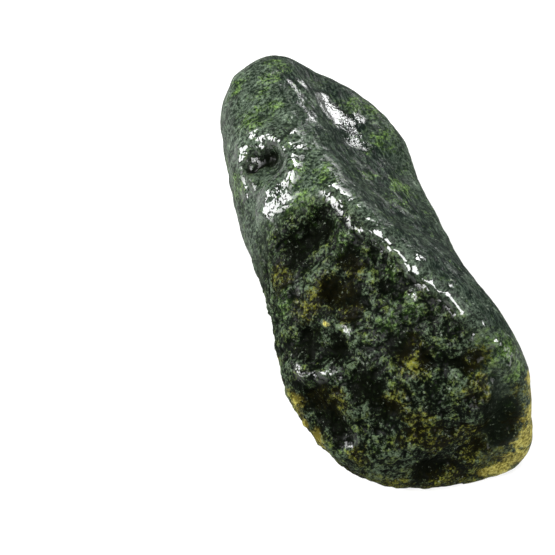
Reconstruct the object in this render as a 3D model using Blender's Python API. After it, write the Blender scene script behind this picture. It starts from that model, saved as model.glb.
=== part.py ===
"""A raw jade boulder: one water-worn stone, longer than it is wide, lying on its broad underside.

The long axis is +Y, the near end is at -Y, and the stone stands on Z = 0. Places and sizes below are millimetres.
"""

import bmesh
import bpy
import numpy as np
from mathutils import Vector, noise

MM = 0.001

# The solid is thinned to about this many triangles once its relief is in.
TRIANGLES = 9200

# Each cross-section is (place along the stone, lean, outline). The lean is how far it shifts along the stone
# for each millimetre of height. The outline goes round from the left edge of the sole over the left flank,
# the crest, the trough and the right flank to the middle of the sole.
SECTIONS = [
    (-150, 0.14, [(-21, 10), (-30, 24), (-22, 42), (0, 54), (26, 68), (42, 68), (50, 58), (56, 34), (65, 2), (24, -8)]),
    (-134, 0.04, [(-34, 3), (-48, 24), (-40, 46), (-12, 70), (28, 94), (48, 90), (58, 70), (62, 40), (67, -6), (12, -10)]),
    (-109, 0, [(-45, 4), (-66, 28), (-58, 54), (-26, 78), (30, 110), (48, 98), (62, 75), (62, 44), (58, 2), (6, -10)]),
    (-74, 0, [(-52, 5), (-73, 34), (-64, 64), (-32, 88), (14, 122), (32, 107), (49, 86), (56, 50), (46, 5), (0, -9)]),
    (-29, 0, [(-47, 6), (-64, 38), (-59, 74), (-36, 98), (-4, 119), (14, 103), (42, 85), (52, 54), (40, 7), (-4, -9)]),
    (21, 0, [(-49, 6), (-66, 42), (-60, 80), (-43, 101), (-13, 111), (6, 93), (35, 89), (51, 62), (40, 7), (-6, -9)]),
    (66, 0, [(-48, 7), (-65, 46), (-62, 80), (-46, 97), (-10, 106), (7, 90), (38, 94), (54, 66), (38, 10), (-8, -7)]),
    (106, 0, [(-43, 12), (-61, 48), (-59, 80), (-42, 96), (-7, 103), (6, 87), (20, 85), (35, 62), (26, 15), (-10, 1)]),
    (131, 0, [(-36, 20), (-53, 50), (-49, 78), (-34, 94), (-10, 97), (2, 83), (9, 69), (17, 52), (14, 26), (-13, 14)]),
    (145, 0, [(-28, 34), (-38, 50), (-35, 66), (-26, 77), (-14, 78), (-4, 70), (3, 58), (5, 47), (2, 36), (-14, 28)]),
]

# The relief: places along each feature, its width to either side, and its height, with a minus for a hollow.
STROKES = [
    # Upper face: the trough along the right of the crest, and a shallow furrow at its far end.
    ([(4, 100, 90), (6, 80, 91), (6, 53, 94), (6, 29, 97), (7, 1, 101), (11, -26, 107)], 11, -2.6),
    ([(11, -26, 107), (16, -50, 111), (26, -74, 110)], 9, -1.4),
    ([(3, 108, 90), (7, 90, 90), (10, 72, 91)], 5, -1.2),
    # The crest: rounded towards the far end, sharper and notched towards the near end.
    ([(-13, 24, 108), (-12, 5, 110), (-8, -25, 113), (0, -45, 113)], 7, 1.6),
    ([(0, -45, 113), (5, -56, 112), (13, -76, 111), (22, -91, 109), (31, -107, 104)], 6, 2.4),
    ([(8, -68, 112)], 5, -1.8),
    ([(19, -88, 109)], 5, -1.6),
    # Upper face: the lobe on the right, the step under it, and the fold that runs down from the step.
    ([(12, 100, 86), (18, 86, 88), (28, 67, 88), (35, 48, 88)], 13, 2.4),
    ([(10, 48, 93), (16, 38, 93), (25, 29, 91), (34, 17, 88)], 7, -1.8),
    ([(42, 12, 81), (43, -8, 81), (41, -28, 85)], 8, 1.4),
    # Upper left face: its worn shoulder, and the pit with its raised rim.
    ([(-44, 100, 97), (-45, 66, 98), (-42, 34, 100)], 13, -2.4),
    ([(-46, 45, 93), (-44, 38, 95)], 10, -6.0),
    ([(-52, 68, 88), (-42, 62, 98), (-33, 44, 103)], 8, 2.0),
    ([(-34, 25, 102), (-44, 20, 94), (-52, 16, 85)], 8, 2.0),
    ([(-44, 88, 95)], 14, 1.2),
    # Left face under the crest: a brow across it, and below the brow scoops with ledges between them.
    ([(-20, -2, 109), (-38, -8, 98), (-54, -12, 80)], 8, 1.8),
    ([(-30, -22, 98)], 10, -4.6),
    ([(-44, -24, 86), (-43, -34, 86)], 11, -4.6),
    ([(-19, -38, 105)], 8, 1.8),
    ([(-20, -46, 102), (-13, -55, 103)], 7, -3.4),
    ([(-8, -70, 102), (-2, -78, 103)], 8, -4.2),
    ([(-18, -86, 90), (-10, -86, 94), (-1, -85, 101)], 6, 2.6),
    ([(-40, -50, 86)], 9, 1.8),
    # Left face, middle: the wide scoop, the chip and the lump beside it, and the deep hollow over a ledge.
    ([(-34, -60, 88), (-28, -68, 92)], 12, -5.0),
    ([(-40, -73, 80)], 5, 1.8),
    ([(-31, -86, 81)], 8, 2.2),
    ([(-50, -72, 70), (-46, -80, 72), (-41, -88, 72)], 9, -5.4),
    ([(-62, -81, 54), (-51, -91, 62), (-37, -98, 70)], 7, 3.0),
    ([(-54, -96, 54)], 11, 1.6),
    ([(-37, -109, 65)], 7, -2.4),
    # Left face, low: the deep hollow near the corner, and the ledge at its foot.
    ([(-55, -101, 48), (-52, -108, 46), (-48, -117, 45)], 10, -5.8),
    ([(-37, -116, 57)], 7, 2.0),
    ([(-48, -121, 36), (-42, -127, 37), (-32, -134, 38)], 8, 2.4),
    ([(-27, -125, 59)], 7, -2.4),
    # Near end: the crevice under the crest's end, the dark hollows right and low, and swellings between.
    ([(4, -117, 85), (13, -123, 86), (23, -125, 89), (35, -127, 91)], 6, -4.4),
    ([(43, -128, 89)], 8, 1.8),
    ([(6, -129, 77)], 7, -2.0),
    ([(-5, -104, 89)], 6, -1.8),
    ([(-22, -109, 75), (-15, -123, 69), (-10, -131, 63)], 7, 1.8),
    ([(-12, -138, 54)], 6, -1.8),
    ([(38, -138, 78), (39, -142, 66), (38, -144, 50), (32, -146, 40)], 9, -5.4),
    ([(24, -141, 62)], 9, 2.4),
    ([(44, -144, 38)], 6, 2.0),
    ([(0, -146, 24), (9, -146, 30), (20, -145, 36)], 8, -4.6),
    ([(28, -147, 4), (46, -147, 5)], 10, 1.2),
    ([(55, -140, 48), (55, -144, 22)], 9, 1.6),
    # Right flank and far end.
    ([(56, 6, 60), (57, -30, 52), (60, -60, 50)], 14, -2.0),
    ([(58, 70, 58), (54, 44, 50)], 14, 2.0),
    ([(62, -96, 58), (66, -112, 40)], 13, 1.8),
    ([(46, -4, 30), (44, -40, 28)], 10, 2.2),
    ([(30, 108, 50), (44, 90, 40)], 11, -2.6),
    ([(-20, 146, 54), (-34, 138, 50)], 9, -2.0),
    ([(-60, 108, 62), (-64, 84, 58)], 11, -1.8),
    ([(-66, 40, 50), (-64, 8, 56)], 13, 1.6),
    ([(-63, -42, 41)], 11, -2.4),
]

# A feature fades out at this many times its width. Its edge strays this far from its path, over about this
# distance, by one pattern for each axis, read from these places.
REACH = 1.6
STRAY = 3.5
STRAY_LENGTH = 9.0
STRAY_PLACES = [(0.0, 0.0, 0.0), (9.3, -1.5, -7.9), (-4.6, 8.2, 3.7)]

# Worn lumps with creases between them: wavelength, height, and where the pattern is read from. The pattern's
# size is on average about CREASE_LEVEL, which is where the surface stays as it was.
LUMPS = [
    (38, 3.2, (3.1, 7.4, 1.9)),
    (19, 2.6, (11.7, 2.3, 5.5)),
    (10, 1.5, (4.2, 9.6, 13.1)),
]
CREASE_LEVEL = 0.2

# The crest runs along x = CREST_SLOPE * y. Right of it, from CREST_LEFT to CREST_RIGHT, the stone gets worn
# smoother: to these shares of the lumps on the upper face and on the flank.
CREST_SLOPE = -0.31
CREST_LEFT = -6.0
CREST_RIGHT = 14.0
UPPER_SHARE = 0.35
FLANK_SHARE = 0.65

# A normal that leans up this much counts as facing fully up.
FULLY_UP = 0.625

# Places this close to the ground, in metres, are on the sole.
ON_GROUND = 0.00002


def clear_scene():
    for obj in list(bpy.data.objects):
        bpy.data.objects.remove(obj)


def stone_cage():
    """The cross-sections joined into one closed cage."""
    cage = bmesh.new()
    rings = []
    for along, lean, outline in SECTIONS:
        rings.append([cage.verts.new((x * MM, (along + lean * z) * MM, z * MM)) for x, z in outline])
    for near, far in zip(rings, rings[1:]):
        count = len(near)
        for i in range(count):
            j = (i + 1) % count
            cage.faces.new((near[i], far[i], far[j], near[j]))
    cage.faces.new(rings[0])
    cage.faces.new(list(reversed(rings[-1])))
    bmesh.ops.recalc_face_normals(cage, faces=cage.faces)
    return cage


def worked_mesh(boulder):
    """The boulder's mesh with its modifiers worked in, and the modifiers taken off."""
    bpy.context.view_layer.update()
    depsgraph = bpy.context.evaluated_depsgraph_get()
    mesh = bpy.data.meshes.new_from_object(boulder.evaluated_get(depsgraph))
    boulder.modifiers.clear()
    boulder.data = mesh
    return mesh


def distance_to_path(points, path):
    """Each point's distance in millimetres to a line through the places of one feature."""
    nearest = np.full(len(points), 1e6)
    corners = np.array(path, dtype=float)
    if len(corners) == 1:
        return np.linalg.norm(points - corners[0], axis=1)
    for start, end in zip(corners, corners[1:]):
        run = end - start
        along = np.clip((points - start) @ run / (run @ run), 0.0, 1.0)
        nearest = np.minimum(nearest, np.linalg.norm(points - start - along[:, None] * run, axis=1))
    return nearest


def noise_pattern(points, wavelength, place):
    """Smooth noise from -1 to 1 at each point, read from one place in the pattern."""
    return np.array([noise.noise(Vector(point) / wavelength + Vector(place)) for point in points])


def carve(mesh):
    """Push the surface in and out along its normals to make the hollows, ledges, crest and lumps."""
    points = np.array([vertex.co[:] for vertex in mesh.vertices]) / MM
    normals = np.array([normal.vector[:] for normal in mesh.vertex_normals])
    height = np.zeros(len(points))

    stray = np.column_stack([noise_pattern(points, STRAY_LENGTH, place) for place in STRAY_PLACES])
    strayed = points + STRAY * stray
    for path, width, rise in STROKES:
        fade = np.clip(1.0 - (distance_to_path(strayed, path) / (REACH * width)) ** 2, 0.0, None) ** 2
        height += rise * fade

    past_crest = points[:, 0] - CREST_SLOPE * points[:, 1]
    right_of_crest = np.clip((past_crest - CREST_LEFT) / (CREST_RIGHT - CREST_LEFT), 0.0, 1.0)
    facing_up = np.clip(normals[:, 2] / FULLY_UP, 0.0, 1.0)
    worn_share = FLANK_SHARE + (UPPER_SHARE - FLANK_SHARE) * facing_up
    lumpiness = 1.0 - (1.0 - worn_share) * right_of_crest
    for wavelength, rise, place in LUMPS:
        creases = np.abs(noise_pattern(points, wavelength, place)) - CREASE_LEVEL
        height += rise * lumpiness * creases

    moved = (points + normals * height[:, None]) * MM
    for vertex, place in zip(mesh.vertices, moved):
        vertex.co = place


def cut_sole(mesh):
    """Cut the stone flat at Z = 0, where it rests."""
    stone = bmesh.new()
    stone.from_mesh(mesh)
    everything = stone.verts[:] + stone.edges[:] + stone.faces[:]
    cut = bmesh.ops.bisect_plane(
        stone,
        geom=everything,
        dist=ON_GROUND,
        plane_co=(0.0, 0.0, 0.0),
        plane_no=(0.0, 0.0, 1.0),
        clear_inner=True,
    )
    for vertex in stone.verts:
        if vertex.co.z < ON_GROUND:
            vertex.co.z = 0.0
    rim = [item for item in cut["geom_cut"] if isinstance(item, bmesh.types.BMEdge)]
    bmesh.ops.holes_fill(stone, edges=rim, sides=0)
    bmesh.ops.dissolve_degenerate(stone, dist=0.00005, edges=stone.edges[:])
    bmesh.ops.triangulate(stone, faces=stone.faces[:])
    bmesh.ops.recalc_face_normals(stone, faces=stone.faces[:])
    stone.to_mesh(mesh)
    stone.free()


def centre(mesh):
    """Put the middle of the stone's outline over the origin."""
    places = np.array([vertex.co[:] for vertex in mesh.vertices])
    middle = (places.min(axis=0) + places.max(axis=0)) / 2
    for vertex in mesh.vertices:
        vertex.co.x -= middle[0]
        vertex.co.y -= middle[1]


def stone_material():
    """Dark wet nephrite."""
    stone = bpy.data.materials.new("nephrite")
    stone.use_nodes = True
    shader = stone.node_tree.nodes["Principled BSDF"]
    shader.inputs["Base Color"].default_value = (0.022, 0.040, 0.028, 1.0)
    shader.inputs["Roughness"].default_value = 0.3
    return stone


def main():
    clear_scene()
    cage = stone_cage()
    mesh = bpy.data.meshes.new("cage")
    cage.to_mesh(mesh)
    cage.free()
    boulder = bpy.data.objects.new("boulder", mesh)
    bpy.context.scene.collection.objects.link(boulder)

    rounded = boulder.modifiers.new("round the cage", "SUBSURF")
    rounded.levels = 4
    rounded.render_levels = 4
    mesh = worked_mesh(boulder)
    carve(mesh)

    thinned = boulder.modifiers.new("thin the mesh", "DECIMATE")
    thinned.ratio = TRIANGLES / (2 * len(mesh.polygons))
    mesh = worked_mesh(boulder)
    cut_sole(mesh)
    centre(mesh)

    mesh.name = "boulder"
    mesh.materials.clear()
    mesh.materials.append(stone_material())
    for face in mesh.polygons:
        face.use_smooth = face.normal.z > -0.999 or face.center.z > 0.0005


main()
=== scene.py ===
import math

import bmesh
import bpy
import numpy as np
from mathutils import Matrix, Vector, noise


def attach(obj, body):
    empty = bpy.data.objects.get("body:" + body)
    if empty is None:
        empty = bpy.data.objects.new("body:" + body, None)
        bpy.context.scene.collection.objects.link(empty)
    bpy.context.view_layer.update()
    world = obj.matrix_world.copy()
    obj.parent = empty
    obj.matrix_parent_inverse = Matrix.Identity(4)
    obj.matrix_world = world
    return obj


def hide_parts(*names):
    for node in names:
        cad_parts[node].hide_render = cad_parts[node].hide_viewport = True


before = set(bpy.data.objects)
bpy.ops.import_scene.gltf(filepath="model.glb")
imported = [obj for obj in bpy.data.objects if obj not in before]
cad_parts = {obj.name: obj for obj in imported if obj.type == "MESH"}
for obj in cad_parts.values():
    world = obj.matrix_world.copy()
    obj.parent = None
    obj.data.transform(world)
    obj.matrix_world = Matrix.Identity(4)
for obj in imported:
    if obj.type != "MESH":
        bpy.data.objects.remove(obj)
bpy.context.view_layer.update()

# Camera: a long lens that looks down on the stone from over its near end, a little to its left. It stands
# about three stone lengths away, so the stone's far end looks hardly smaller than its near end.
CAMERA_AZIMUTH = math.radians(-15)
CAMERA_ELEVATION = math.radians(50)
CAMERA_DISTANCE = 0.9
CAMERA_AIM = Vector((-0.05105, -0.0118, 0.05294))
LENS = 100
SENSOR_WIDTH = 36

to_camera = Vector((
    math.sin(CAMERA_AZIMUTH) * math.cos(CAMERA_ELEVATION),
    -math.cos(CAMERA_AZIMUTH) * math.cos(CAMERA_ELEVATION),
    math.sin(CAMERA_ELEVATION),
))
camera = bpy.data.objects.new("camera", bpy.data.cameras.new("camera"))
camera.data.lens = LENS
camera.data.sensor_width = SENSOR_WIDTH
camera.location = CAMERA_AIM + CAMERA_DISTANCE * to_camera
camera.rotation_mode = "QUATERNION"
camera.rotation_quaternion = (-to_camera).to_track_quat("-Z", "Y")
bpy.context.scene.collection.objects.link(camera)
bpy.context.scene.camera = camera
bpy.context.scene.view_settings.view_transform = "Standard"


# Floor: a wide, pale, matt studio floor under the stone, and no part of it. It looks white to the camera, but
# it lights the stone and shows in its wet skin as a grey one.
FLOOR_RADIUS = 9.0
FLOOR_GLOW_ON_STONE = 0.05
FLOOR_GLOW_SEEN = 0.66

floor_shape = bmesh.new()
bmesh.ops.create_circle(floor_shape, cap_ends=True, segments=64, radius=FLOOR_RADIUS)
floor_mesh = bpy.data.meshes.new("floor")
floor_shape.to_mesh(floor_mesh)
floor_shape.free()
floor = bpy.data.objects.new("floor", floor_mesh)
bpy.context.scene.collection.objects.link(floor)

floor_paint = bpy.data.materials.new("floor paint")
floor_paint.use_nodes = True
nodes, links = floor_paint.node_tree.nodes, floor_paint.node_tree.links
floor_shader = nodes["Principled BSDF"]
floor_shader.inputs["Base Color"].default_value = (0.36, 0.36, 0.355, 1)
floor_shader.inputs["Roughness"].default_value = 0.9
floor_shader.inputs["Specular IOR Level"].default_value = 0.1
floor_shader.inputs["Emission Color"].default_value = (1, 1, 1, 1)
ray = nodes.new("ShaderNodeLightPath")
glow = nodes.new("ShaderNodeMix")
glow.inputs["A"].default_value = FLOOR_GLOW_ON_STONE
glow.inputs["B"].default_value = FLOOR_GLOW_SEEN
links.new(ray.outputs["Is Camera Ray"], glow.inputs["Factor"])
links.new(glow.outputs["Result"], floor_shader.inputs["Emission Strength"])
floor_mesh.materials.append(floor_paint)


# Lights: softboxes in a dim room. Two stand beyond the far end, on its right, and three along the left. They
# glint in the wet crest, the pit's rim and the lobe. A wide dim panel hangs overhead, and a fill stands to
# the near right. Nothing bright stands near the camera, so the near end stays dark.
STONE_MIDDLE = Vector((0.0, 0.0, 0.06))
# Each row is a name, the azimuth and elevation in degrees, the distance and the size in metres, and how
# bright the softbox looks. Azimuth 0 is beyond the far end, and 90 is to the right.
SOFTBOXES = [
    ("right softbox", 17, 39, 1.5, (0.40, 0.46), 20),
    ("low right softbox", 36, 12, 1.5, (0.60, 0.48), 16),
    ("left softbox", -69, 21, 1.5, (0.64, 0.64), 16),
    ("high softbox", -86, 57, 1.6, (0.60, 0.50), 18),
    ("crest softbox", -114, 47, 1.6, (0.70, 0.56), 16),
    ("overhead panel", 0, 88, 1.9, (1.60, 1.60), 0.5),
    ("right fill", 136, 20, 1.6, (1.00, 0.60), 16),
]
for name, azimuth, elevation, distance, size, brightness in SOFTBOXES:
    around, above = math.radians(azimuth), math.radians(elevation)
    outward = Vector((
        math.sin(around) * math.cos(above),
        math.cos(around) * math.cos(above),
        math.sin(above),
    ))
    light = bpy.data.lights.new(name, "AREA")
    light.shape = "RECTANGLE"
    light.size, light.size_y = size
    light.energy = brightness * math.pi * size[0] * size[1]
    softbox = bpy.data.objects.new(name, light)
    softbox.location = STONE_MIDDLE + distance * outward
    softbox.rotation_mode = "QUATERNION"
    softbox.rotation_quaternion = (-outward).to_track_quat("-Z", "Y")
    softbox.visible_camera = False
    bpy.context.scene.collection.objects.link(softbox)

ROOM_GLOW = 0.10
BACKDROP_GLOW = 0.95
room = bpy.data.worlds.new("room")
room.use_nodes = True
bpy.context.scene.world = room
nodes, links = room.node_tree.nodes, room.node_tree.links
ray = nodes.new("ShaderNodeLightPath")
glow = nodes.new("ShaderNodeMix")
glow.inputs["A"].default_value = ROOM_GLOW
glow.inputs["B"].default_value = BACKDROP_GLOW
links.new(ray.outputs["Is Camera Ray"], glow.inputs["Factor"])
links.new(glow.outputs["Result"], nodes["Background"].inputs["Strength"])
nodes["Background"].inputs["Color"].default_value = (1, 1, 1, 1)


# Boulder: one river-worn block of nephrite, in one piece. Its plain solid gives the form. Its skin is made
# even, its facets are worn away, and then the finer creases, pits and grain are pushed in and out of it.
# Places, gaps and heights below are in millimetres.
MM = 0.001
GRAIN = 1.25 * MM
SAME_CORNER = 0.02 * MM
FACET_WEAR = 11
SOLE_TOUCH = 0.2

stone_shape = bmesh.new()
stone_shape.from_mesh(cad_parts["boulder"].data)
bmesh.ops.remove_doubles(stone_shape, verts=stone_shape.verts, dist=SAME_CORNER)
stone_mesh = bpy.data.meshes.new("stone")
stone_shape.to_mesh(stone_mesh)
stone_shape.free()
stone = bpy.data.objects.new("stone", stone_mesh)
bpy.context.scene.collection.objects.link(stone)
even = stone.modifiers.new("even skin", "REMESH")
even.mode = "VOXEL"
even.voxel_size = GRAIN
bpy.context.view_layer.update()
stone_mesh = bpy.data.meshes.new_from_object(stone.evaluated_get(bpy.context.evaluated_depsgraph_get()))
stone.modifiers.clear()
stone.data = stone_mesh

count = len(stone_mesh.vertices)
places = np.zeros(count * 3)
stone_mesh.vertices.foreach_get("co", places)
places = places.reshape(-1, 3) / MM
edges = np.zeros(len(stone_mesh.edges) * 2, dtype=np.int32)
stone_mesh.edges.foreach_get("vertices", edges)
edges = edges.reshape(-1, 2)
neighbours = np.bincount(edges.ravel(), minlength=count)
sole = places[:, 2] < SOLE_TOUCH


def relaxed(values, rounds):
    """Values at the corners, each moved to the mean of its neighbours, a number of rounds."""
    for _ in range(rounds):
        total = np.zeros_like(values)
        for axis in range(values.shape[1]):
            total[:, axis] = np.bincount(edges[:, 0], values[edges[:, 1], axis], count)
            total[:, axis] += np.bincount(edges[:, 1], values[edges[:, 0], axis], count)
        values = 0.5 * values + 0.5 * total / neighbours[:, None]
    return values


def set_down(points):
    """The corners with the sole flat on the floor and none below it."""
    points[sole, 2] = 0.0
    points[:, 2] = np.maximum(points[:, 2], 0.0)
    return points


def skin_normals():
    """The normals of the stone's corners as it stands."""
    stone_mesh.vertices.foreach_set("co", (places * MM).ravel())
    stone_mesh.update()
    flat = np.zeros(count * 3)
    stone_mesh.vertex_normals.foreach_get("vector", flat)
    return flat.reshape(-1, 3)


def pattern(points, wavelength, place):
    """Smooth noise from -1 to 1, one value for each point."""
    return np.array([noise.noise(Vector(point) / wavelength + Vector(place)) for point in points])


def ramp(values, start, end):
    """Values taken from 0 at start to 1 at end, and held there. The end may be the lower of the two."""
    return np.clip((values - start) / (end - start), 0.0, 1.0)


def mound(gap, reach):
    """The height of a smooth mound at a gap from its middle: 1 in the middle, and 0 from its reach on."""
    return np.clip(1.0 - (gap / reach) ** 2, 0.0, None) ** 2


def path_distance(points, path):
    """Each point's distance to a line through the places of one feature."""
    corners = np.array(path, dtype=float)
    nearest = np.linalg.norm(points - corners[0], axis=1)
    for start, end in zip(corners, corners[1:]):
        run = end - start
        along = np.clip((points - start) @ run / (run @ run), 0.0, 1.0)
        nearest = np.minimum(nearest, np.linalg.norm(points - start - along[:, None] * run, axis=1))
    return nearest


places = set_down(relaxed(places, FACET_WEAR))
normals = skin_normals()
sideways, lengthways, upward = places.T

# Natural edges wander. Features stray a little from their places, and patches of colour stray further.
EDGE_STRAY, EDGE_STRAY_LENGTH = 4.0, 9.0
PATCH_STRAY, PATCH_STRAY_LENGTH = 6.0, 17.0
EDGE_STRAY_PLACES = [(0, 0, 0), (9.3, -1.5, -7.9), (-4.6, 8.2, 3.7)]
PATCH_STRAY_PLACES = [(5, 5, 5), (-6.1, 2.7, 4.4), (1.8, -7.3, 6.2)]
stray = np.column_stack([pattern(places, EDGE_STRAY_LENGTH, place) for place in EDGE_STRAY_PLACES])
wander = np.column_stack([pattern(places, PATCH_STRAY_LENGTH, place) for place in PATCH_STRAY_PLACES])
strayed = places + EDGE_STRAY * stray
patch_places = strayed + PATCH_STRAY * wander

# The crest, as places along and across the stone. Right of it the stone is worn smooth.
CREST = [
    (-150, 38), (-107, 31), (-91, 22), (-76, 13), (-56, 5), (-45, 0), (-25, -8), (5, -12), (29, -16),
    (54, -20), (79, -22), (150, -24),
]
past_crest = sideways - np.interp(lengthways, *zip(*CREST))
smooth_side = ramp(past_crest, -1, 8) * ramp(lengthways, -122, -106)

# The brow that crosses the left face: its place along the stone, how far it turns with the distance from the
# crest, and its width, which spreads from a height downwards.
BROW_PLACE = -4
BROW_TURN = 0.25
BROW_START = 0.1
BROW_WIDTH = 10
BROW_SPREAD = 0.9
BROW_HEIGHT = 82
brow_width = BROW_WIDTH + BROW_SPREAD * np.clip(BROW_HEIGHT - upward, 0.0, None)
past_brow = BROW_PLACE - patch_places[:, 1] - BROW_TURN * past_crest
below_brow = np.clip(BROW_START + past_brow / brow_width, 0.0, 1.0)

# Left of the crest and below the brow the skin is crumbly. So it is round the near end, less so at its right,
# and in the pit near the far end.
PIT = [(-49, 49, 85), (-42, 50, 89)]
LEAST_CRUMBLY_END = 0.3
CRUMBLY_FADE = 10
crumbly = np.maximum(ramp(past_crest, -2, -7) * below_brow, ramp(lengthways, -110, -120))
crumbly *= np.maximum(ramp(sideways, 47, 27), LEAST_CRUMBLY_END)
crumbly = np.maximum(crumbly, ramp(path_distance(strayed, PIT), 10.5, 3.0))
crumbly = relaxed(crumbly[:, None], CRUMBLY_FADE)[:, 0]

# The features that have a place of their own: a line through each, its width, and how far it rises or sinks.
FEATURES = [
    # The brow across the left face, and the hollows under it.
    ([(-22, -2, 108), (-38, -8, 98), (-54, -12, 80)], 5, 1.0),
    ([(-26, -19, 101), (-36, -22, 95), (-46, -24, 85)], 5, -1.8),
    ([(-20, -46, 102), (-13, -55, 103)], 4, -1.2),
    ([(-8, -71, 102), (-3, -77, 103)], 4, -1.4),
    ([(-34, -59, 88), (-25, -68, 94)], 6, -1.4),
    ([(-50, -72, 70), (-41, -88, 72)], 5, -1.4),
    ([(-55, -101, 48), (-49, -116, 44)], 5, -1.6),
    ([(4, -117, 85), (18, -125, 88), (31, -129, 84)], 3.5, -1.8),
    ([(38, -138, 78), (38, -143, 50), (32, -145, 42)], 5, -1.8),
    ([(0, -144, 24), (20, -145, 37)], 5, -1.4),
    # The pit near the far end, its rim, and the thin hard vein that stands up across it.
    (PIT, 5, -3.4),
    ([(-52, 62, 89), (-44, 58, 96), (-36, 48, 101)], 4, 1.0),
    ([(-38, 30, 99), (-47, 22, 91)], 4, 1.0),
    ([(-45, 72, 97), (-38, 66, 99), (-31, 54, 103), (-30, 36, 104), (-34, 22, 102)], 6, 2.6),
    ([(-56, 48, 82), (-57, 34, 80)], 4, -1.2),
    # Three small notches in the crest's edge.
    ([(14, -78, 111)], 3, -1.4),
    ([(20, -88, 110)], 2.5, -1.2),
    ([(9, -66, 112)], 2, -0.9),
]
FEATURE_SPREAD = 1.6
height = np.zeros(count)
for path, width, rise in FEATURES:
    height += rise * mound(path_distance(strayed, path), FEATURE_SPREAD * width)

# The crest's edge stands up as a rounded bead, which is worn smoother than the skin beside it.
CREST_LINE = [
    (-18, -3, 109), (-13, -23, 111), (-7, -40, 112), (5, -60, 114), (13, -80, 110), (22, -94, 109),
    (31, -109, 104), (38, -117, 97),
]
BEAD_RISE = 1.8
BEAD_REACH = 7.2
BEAD_STRAY = 0.4
edge_gap = path_distance(places + BEAD_STRAY * EDGE_STRAY * stray, CREST_LINE)
height += BEAD_RISE * mound(edge_gap, BEAD_REACH)

# How rough the skin is: less so on the crest's edge, low on the stone and at its near right end.
EDGE_WEAR = 0.8
RIM_WEAR = 0.7
RIGHT_END_WEAR = 0.6
worn_edge = ramp(edge_gap, 6.75, 2.25)
low_rim = ramp(upward, 50, 0)
right_end = ramp(sideways, 40, 55) * ramp(lengthways, -95, -115)
rough_share = (1.0 - EDGE_WEAR * worn_edge) * (1.0 - RIM_WEAR * low_rim) * (1.0 - RIGHT_END_WEAR * right_end)

# Creases between worn grains: their wavelength, their height where the skin is crumbly, the share of it that
# they have elsewhere, and their place in the noise.
CREASES = [
    (11.0, 1.6, 0.40, (3.3, 1.2, 8.1)),
    (5.6, 1.7, 0.22, (7.1, 4.4, 2.6)),
    (3.1, 1.1, 0.20, (1.9, 6.3, 5.2)),
]
CREASE_MEAN = 0.2
SMOOTH_SIDE_WEAR = 0.6
for wavelength, rise, calm, place in CREASES:
    lumpiness = (calm + (1.0 - calm) * crumbly - SMOOTH_SIDE_WEAR * calm * smooth_side) * rough_share
    height += rise * lumpiness * (np.abs(pattern(places, wavelength, place)) - CREASE_MEAN)

# Furrows drawn out along the crest, on the worn side of it: wavelength, height and place in the noise.
CREST_TURN = math.radians(17)
FURROW_LENGTH = 7.0
FURROWS = [
    (3.6, 0.45, (2.8, 0.4, 6.6)),
    (1.9, 0.25, (8.3, 5.1, 0.7)),
]
across = math.cos(CREST_TURN) * sideways + math.sin(CREST_TURN) * lengthways
along = (math.cos(CREST_TURN) * lengthways - math.sin(CREST_TURN) * sideways) / FURROW_LENGTH
drawn_out = np.column_stack([across, along, upward])
for wavelength, rise, place in FURROWS:
    height += rise * smooth_side * rough_share * pattern(drawn_out, wavelength, place)

# Pits where soft grains have gone: how far apart they are, their depth, and their place in the noise.
PITS = [
    (9.0, 1.2, (5.2, 8.8, 1.4)),
    (5.0, 1.1, (2.2, 3.9, 9.1)),
]
CALM_PITS = 0.12
for wavelength, deepest, place in PITS:
    pitted = ramp(pattern(places, wavelength, place), 0.12, 0.52)
    height -= deepest * (CALM_PITS + (1.0 - CALM_PITS) * crumbly) * rough_share * pitted

lift = height * (1.0 - sole)
places = set_down(places + normals * lift[:, None])
normals = skin_normals()
for face in stone_mesh.polygons:
    face.use_smooth = True

# Where the skin lies below or above its own worn-down shape: hollows, high spots and the crowns of grains.
BROAD_WEAR = 64
NEAR_WEAR = 8
depth = ((relaxed(places, BROAD_WEAR) - places) * normals).sum(axis=1)
near_depth = ((relaxed(places, NEAR_WEAR) - places) * normals).sum(axis=1)
hollow = ramp(depth, 0.0, 2.2)
high = ramp(depth, 0.0, -1.2)
crown = ramp(near_depth, 0.4, -0.4)

# Colours that lie in patches on the skin: where each patch is, and how far it reaches.
MOSS_PATCHES = [
    ((-35, 99, 100), 9), ((-35, 84, 101), 9), ((-14, 118, 96), 9), ((-25, 106, 101), 8), ((-45, 79, 97), 9),
    ((-46, 115, 86), 9), ((-60, 47, 71), 9), ((-29, 20, 106), 9), ((-15, 12, 110), 7), ((-36, 17, 102), 7),
    ((25, 76, 91), 12), ((19, 40, 90), 6), ((30, 69, 90), 9), ((12, 14, 94), 7), ((-34, 0, 99), 10),
    ((-28, -8, 101), 7), ((-14, 1, 111), 6), ((4, -66, 111), 5), ((-22, -38, 102), 9), ((-5, -68, 102), 7),
    ((1, -88, 102), 9), ((-11, -88, 96), 7), ((-59, -42, 66), 12), ((55, -113, 83), 10), ((35, -120, 94), 7),
    ((36, -124, 89), 5), ((27, -127, 84), 6), ((20, -8, 95), 10), ((42, -121, 90), 9), ((32, -121, 93), 8),
    ((48, -126, 80), 8), ((30, 5, 88), 7), ((33, 45, 88), 7), ((58, 30, 62), 11), ((60, -48, 50), 12),
    ((61, -97, 66), 9), ((20, 135, 62), 13), ((-30, 132, 60), 12), ((-62, 84, 52), 11),
]
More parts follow.
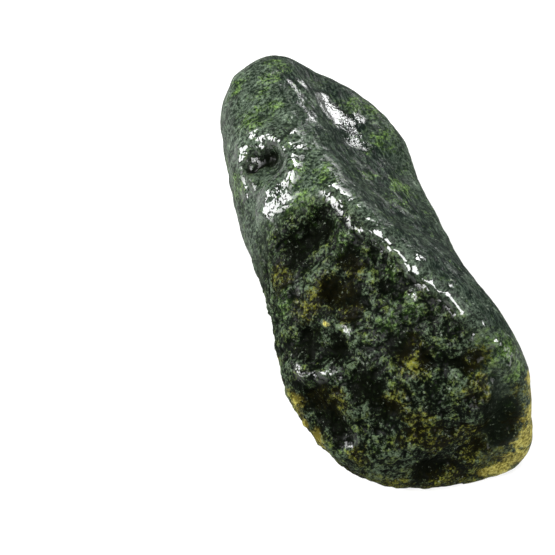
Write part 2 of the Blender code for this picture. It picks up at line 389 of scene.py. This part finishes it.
OLIVE_PATCHES = [
    ((-55, -29, 72), 11), ((-36, -52, 88), 10), ((-47, -54, 78), 11), ((-29, -61, 87), 12),
    ((-27, -75, 88), 9), ((-21, -53, 98), 8), ((-1, -113, 85), 12), ((28, -123, 87), 9), ((29, -134, 76), 9),
    ((23, -136, 74), 8), ((-16, -124, 68), 10), ((-8, -134, 61), 11), ((-8, -136, 51), 10),
    ((4, -141, 45), 12), ((23, -140, 45), 12), ((-50, -102, 51), 10), ((-44, -109, 55), 9),
    ((50, -144, 18), 16), ((35, -145, 13), 12), ((10, -144, 9), 16), ((-14, -143, 12), 12),
    ((-38, -133, 34), 9), ((58, -134, 60), 9), ((52, -141, 46), 9), ((26, -144, 30), 13), ((46, -135, 69), 8),
]
TAN_PATCHES = [
    ((-40, -73, 79), 1.7), ((-61, -92, 42), 3.5), ((-60, -101, 32), 3), ((-55, -110, 29), 5),
    ((60, -133, 58), 6), ((59, -130, 70), 4), ((59, -137, 46), 8), ((59, -141, 32), 9), ((50, -144, 16), 10),
    ((40, -145, 9), 9), ((-62, -60, 36), 5),
]
FAINT_TAN_PATCHES = [((-64, -92, 36), 12), ((-60, -70, 28), 12), ((-56, -112, 24), 10)]
# Where the skin is nearly black, deep in the hollows under the brow and at the near end. This is partly the
# stone's own dark colour and partly painted shade in the hollows.
DARK_AND_SHADE_PATCHES = [
    ((-30, -20, 99), 10), ((-43, -24, 87), 11), ((-20, -46, 102), 8), ((-34, -60, 88), 12),
    ((-26, -68, 92), 10), ((-8, -72, 102), 6), ((-50, -74, 70), 8), ((-42, -88, 72), 9),
    ((-55, -101, 48), 14), ((-49, -115, 45), 12), ((-27, -110, 70), 11), ((-20, -122, 62), 8),
    ((4, -117, 86), 6), ((20, -125, 87), 6), ((38, -139, 70), 10), ((42, -134, 54), 11), ((45, -138, 50), 8),
    ((43, -142, 38), 9), ((37, -143, 50), 14), ((30, -146, 36), 9), ((0, -145, 24), 10), ((-8, -105, 88), 8),
]
PATCH_SPREAD = 1.3
DARK_AND_SHADE_STRENGTH = 1.15
RIM_OLIVE_AND_BOUNCE = 0.9
FAINT_TAN = 0.5


def patches(spots):
    """How far each corner lies inside the nearest patch, from 0 at its edge to 1 in its middle."""
    share = np.zeros(count)
    for middle, reach in spots:
        gap = np.linalg.norm(patch_places - np.array(middle), axis=1) / (PATCH_SPREAD * reach)
        share = np.maximum(share, np.clip(1.0 - gap * gap, 0.0, 1.0))
    return share


# Olive also deepens towards the sole: partly the stone's own olive and partly painted warm light bounced up
# from the floor.
olive = np.maximum(patches(OLIVE_PATCHES), RIM_OLIVE_AND_BOUNCE * low_rim ** 1.5)
tan = np.maximum(patches(TAN_PATCHES), FAINT_TAN * patches(FAINT_TAN_PATCHES))
# Dark patches: the stone's own near-black, with painted shade in the hollows.
dark_and_shade = np.clip(DARK_AND_SHADE_STRENGTH * patches(DARK_AND_SHADE_PATCHES), 0.0, 1.0)
# The darker streak colours are the stone's own streaks and keep to the worn side high up near the crest. The
# paler upper flecks left low on the right flank are partly painted sheen.
streaked = smooth_side * ramp(places[:, 2], 70, 88) * ramp(past_crest, 62, 40)

# The film of water: thin on the upper left face, in streaks on the worn side, and whole along the crest,
# around the pit and over the lobe. It has gone from the crumbly faces, where it only glints on a few ledges.
WET_PATCHES = [
    ((-52, 62, 88), 11), ((-45, 62, 94), 11), ((-38, 56, 98), 10), ((-36, 40, 99), 10), ((-38, 26, 99), 10),
    ((-52, 16, 86), 10), ((-46, 12, 92), 9), ((-56, 38, 80), 9), ((-31, 54, 102), 6), ((-30, 38, 103), 6),
    ((-34, 22, 101), 7), ((4, 88, 91), 7), ((6, 78, 91), 8), ((9, 69, 91), 8), ((12, 60, 91), 8),
    ((14, 51, 91), 7), ((18, 46, 92), 5), ((4, -20, 108), 3), ((17, -21, 99), 2), ((-57, -84, 57), 5),
    ((-50, -93, 65), 6), ((-40, -98, 69), 5), ((-31, -83, 84), 4), ((-43, -124, 41), 5), ((-48, -45, 78), 4),
    ((5, -85, 105), 4),
]
WET_STREAKS = [((-10, 96, 100), 7), ((-11, 80, 101), 8), ((-11, 63, 102), 7)]
THIN_FILM = 0.22
DRY_FILM = 0.05
STREAK_FILM = 1.6
WHOLE_FILM = 1.6
HOLLOW_DRYNESS = 0.75
drained = ramp(pattern(drawn_out, 2.2, (4.4, 7.7, 2.1)), 0.0, 1 / 3)
film = THIN_FILM + (DRY_FILM - THIN_FILM) * np.maximum(crumbly, smooth_side)
film *= 1.0 - smooth_side * (1.0 - STREAK_FILM * drained)
whole_film = np.maximum(patches(WET_PATCHES), drained * patches(WET_STREAKS))
whole_film = np.clip(WHOLE_FILM * np.maximum(whole_film, worn_edge), 0.0, 1.0)
wet = np.maximum(film, whole_film) * (1.0 - HOLLOW_DRYNESS * hollow) * (1.0 - dark_and_shade)

SKIN_MARKS = {
    "wet": wet,
    "worn_edge": worn_edge,
    "crumbly": crumbly,
    "crown": crown,
    "hollow": hollow,
    "high": high,
    "smooth_side": smooth_side,
    "streaked": streaked,
    "moss": patches(MOSS_PATCHES),
    "olive": olive,
    "tan": tan,
    "dark_and_shade": dark_and_shade,
}
for name, values in SKIN_MARKS.items():
    stone_mesh.attributes.new(name, "FLOAT", "POINT").data.foreach_set("value", values)

# The boulder's finish: wet nephrite, a dark ground full of fine grey-green flecks under a film of water. The
# flecks are drawn out into streaks on the worn side, and are sparse crumbs on the crumbly faces.
nephrite = bpy.data.materials.new("wet nephrite")
nephrite.use_nodes = True
nodes, links = nephrite.node_tree.nodes, nephrite.node_tree.links
shader = nodes["Principled BSDF"]
where = nodes.new("ShaderNodeTexCoord")


def grain_node(size, detail, fineness=0.6, stretch=None):
    """Noise of a size in millimetres over the skin, drawn out along the crest where stretch is given."""
    node = nodes.new("ShaderNodeTexNoise")
    node.inputs["Scale"].default_value = 1.0 / (size * MM)
    node.inputs["Detail"].default_value = detail
    node.inputs["Roughness"].default_value = fineness
    source = where.outputs["Object"]
    if stretch:
        turned = nodes.new("ShaderNodeMapping")
        turned.inputs["Rotation"].default_value = (0, 0, -CREST_TURN)
        turned.inputs["Scale"].default_value = (1, 1 / stretch, 1)
        links.new(source, turned.inputs["Vector"])
        source = turned.outputs["Vector"]
    links.new(source, node.inputs["Vector"])
    return node.outputs["Fac"]


def mark_node(name):
    """One of the skin's marks, read from the mesh."""
    node = nodes.new("ShaderNodeAttribute")
    node.attribute_name = name
    return node.outputs["Fac"]


def between(source, low, high):
    """A value taken from 0 at low to 1 at high, and held there."""
    node = nodes.new("ShaderNodeMapRange")
    node.interpolation_type = "SMOOTHSTEP"
    node.inputs["From Min"].default_value = low
    node.inputs["From Max"].default_value = high
    links.new(source, node.inputs["Value"])
    return node.outputs["Result"]


def sum_node(operation, first, second):
    """Two values joined by a sum. Either may be a number."""
    node = nodes.new("ShaderNodeMath")
    node.operation = operation
    for socket, value in zip(node.inputs, (first, second)):
        if isinstance(value, (int, float)):
            socket.default_value = value
        else:
            links.new(value, socket)
    return node.outputs["Value"]


def plus(first, second):
    """Two values added."""
    return sum_node("ADD", first, second)


def minus(first, second):
    """The second value taken from the first."""
    return sum_node("SUBTRACT", first, second)


def times(first, second):
    """Two values multiplied."""
    return sum_node("MULTIPLY", first, second)


def swing(source, amount):
    """A value from 0 to 1, made to swing by an amount around 0."""
    return times(minus(source, 0.5), amount)


def joined(first, second, share):
    """A value that goes from the first to the second by a share."""
    node = nodes.new("ShaderNodeMix")
    for socket, value in zip(("A", "B", "Factor"), (first, second, share)):
        links.new(value, node.inputs[socket])
    return node.outputs["Result"]


def coloured(base, colour, share):
    """A colour laid over the base by a share. Either colour may be plain."""
    node = nodes.new("ShaderNodeMix")
    node.data_type = "RGBA"
    links.new(share, node.inputs["Factor"])
    # Inputs 6 and 7 are the two colours that go in, and output 2 is the one that comes out.
    for socket, value in ((node.inputs[6], base), (node.inputs[7], colour)):
        if isinstance(value, tuple):
            socket.default_value = (*value, 1)
        else:
            links.new(value, socket)
    return node.outputs[2]


# The ground and its flecks, on the upper left face, on the worn side and on the crumbly faces.
GROUND, FLECK = (0.006, 0.010, 0.006), (0.077, 0.105, 0.074)
STREAK_GROUND, STREAK = (0.004, 0.0075, 0.0055), (0.035, 0.050, 0.037)
CRUMB_GROUND, CRUMB = (0.0012, 0.0021, 0.0010), (0.075, 0.106, 0.063)
GREEN_CRUMB = (0.120, 0.162, 0.034)
front = mark_node("crumbly")
smooth = times(mark_node("streaked"), between(grain_node(14, 2), 0.30, 0.55))
green = times(front, between(grain_node(9, 5, 0.8), 0.49, 0.65))
ground = coloured(coloured(GROUND, STREAK_GROUND, smooth), CRUMB_GROUND, front)
fleck = coloured(coloured(coloured(FLECK, STREAK, smooth), CRUMB, front), GREEN_CRUMB, green)

# Moss green, olive and tan patches tint the ground and the flecks alike. Each row is a tint's ground, its
# flecks, how much a patch adds to the grain, and the mark where the tint is full. Moss also shows outside its
# patches.
TINTS = [
    ("moss", (0.009, 0.020, 0.004), (0.135, 0.225, 0.058), 0.17, None),
    ("olive", (0.004, 0.0038, 0.0008), (0.150, 0.156, 0.022), 0.25, 0.6),
    ("tan", (0.080, 0.068, 0.010), (0.440, 0.400, 0.100), 0.36, 0.6),
]
TINT_LEVELS = (0.55, 0.80)
patch_grain = plus(grain_node(2.4, 5, 0.75), swing(grain_node(11, 3), 0.5))
for mark, tinted_ground, tinted_fleck, gain, full in TINTS:
    share = between(plus(patch_grain, times(mark_node(mark), gain)), *TINT_LEVELS)
    if full:
        share = times(share, between(mark_node(mark), 0.0, full))
    ground = coloured(ground, tinted_ground, share)
    fleck = coloured(fleck, tinted_fleck, share)

# Where the flecks are: the level of the grain at which each kind starts, and the level at which it is full.
# Hollows and dark patches have ragged edges and hold fewer flecks: painted shade. High spots and crowns hold
# more: painted light on the lumps.
UPPER_LEVELS = (0.42, 0.62)
STREAK_LEVELS = (0.46, 0.65)
CRUMB_LEVELS = (0.47, 0.78)
PALE_LEVELS = (0.62, 0.72)
middling = grain_node(8, 3, 0.6)
mixed = plus(grain_node(2.0, 6, 0.80), swing(middling, 0.35))
# Painted shade: the hollows and dark patches, with ragged edges, darken the colour below.
sunk_and_shaded = plus(sum_node("MAXIMUM", mark_node("hollow"), mark_node("dark_and_shade")), swing(grain_node(4.0, 6, 0.9), 4.0))
sunk_and_shaded = between(sunk_and_shaded, 0.1, 1.0)
upper_flecks = between(minus(mixed, times(sunk_and_shaded, 0.12)), *UPPER_LEVELS)
streaks = between(grain_node(1.5, 4, 0.70, stretch=3.5), *STREAK_LEVELS)
crumbs = plus(grain_node(1.5, 4, 0.75), swing(middling, 0.35))
# Painted light: high spots and the crowns of grains get more pale crumbs, so the lumps look lit.
crumbs = plus(crumbs, times(mark_node("high"), 0.05))
crumbs = plus(crumbs, swing(mark_node("crown"), 0.15))
crumbs = plus(crumbs, swing(grain_node(17, 2), 0.3))
crumbs = between(minus(crumbs, times(sunk_and_shaded, 0.14)), *CRUMB_LEVELS)
flecks = joined(joined(upper_flecks, streaks, smooth), crumbs, front)

PALE_FLECK, PALE_SHARE = (0.30, 0.35, 0.27), 0.7
# Painted shade: a near-black brown laid over the hollows and dark patches, partly their own brown-black.
BROWN_AND_SHADE, BROWN_AND_SHADE_SHARE = (0.0016, 0.0016, 0.0006), 0.40
colour = coloured(ground, fleck, flecks)
colour = coloured(colour, PALE_FLECK, times(between(mixed, *PALE_LEVELS), PALE_SHARE))
colour = coloured(colour, BROWN_AND_SHADE, times(sunk_and_shaded, BROWN_AND_SHADE_SHARE))
links.new(colour, shader.inputs["Base Color"])

# The stone itself is matt. The gloss is all in the film of water.
shader.inputs["Roughness"].default_value = 0.6
shader.inputs["Specular IOR Level"].default_value = 0.01
shader.inputs["Coat Roughness"].default_value = 0.05
shader.inputs["Coat IOR"].default_value = 1.6
links.new(mark_node("wet"), shader.inputs["Coat Weight"])

# Relief too fine for the mesh: lumps on the rough skin, and fibres along the crest on the worn side. The
# crest's edge keeps little of it.
RELIEF = 0.62 * MM
EDGE_POLISH = 0.75
crumble = times(grain_node(2.0, 2, 0.6), times(front, 0.45))
rough_relief = plus(times(grain_node(3.0, 1, 0.5), 0.85), crumble)
smooth_relief = plus(times(grain_node(1.5, 2, 0.5, stretch=4), 0.45), times(grain_node(1.9, 2, 0.5), 0.6))
relief = joined(rough_relief, smooth_relief, mark_node("smooth_side"))
relief = times(relief, minus(1.0, times(mark_node("worn_edge"), EDGE_POLISH)))
bump = nodes.new("ShaderNodeBump")
bump.inputs["Distance"].default_value = RELIEF
bump.inputs["Strength"].default_value = 1.0
links.new(relief, bump.inputs["Height"])
links.new(bump.outputs["Normal"], shader.inputs["Normal"])
links.new(bump.outputs["Normal"], shader.inputs["Coat Normal"])
stone_mesh.materials.append(nephrite)

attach(stone, "root")
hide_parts("boulder")
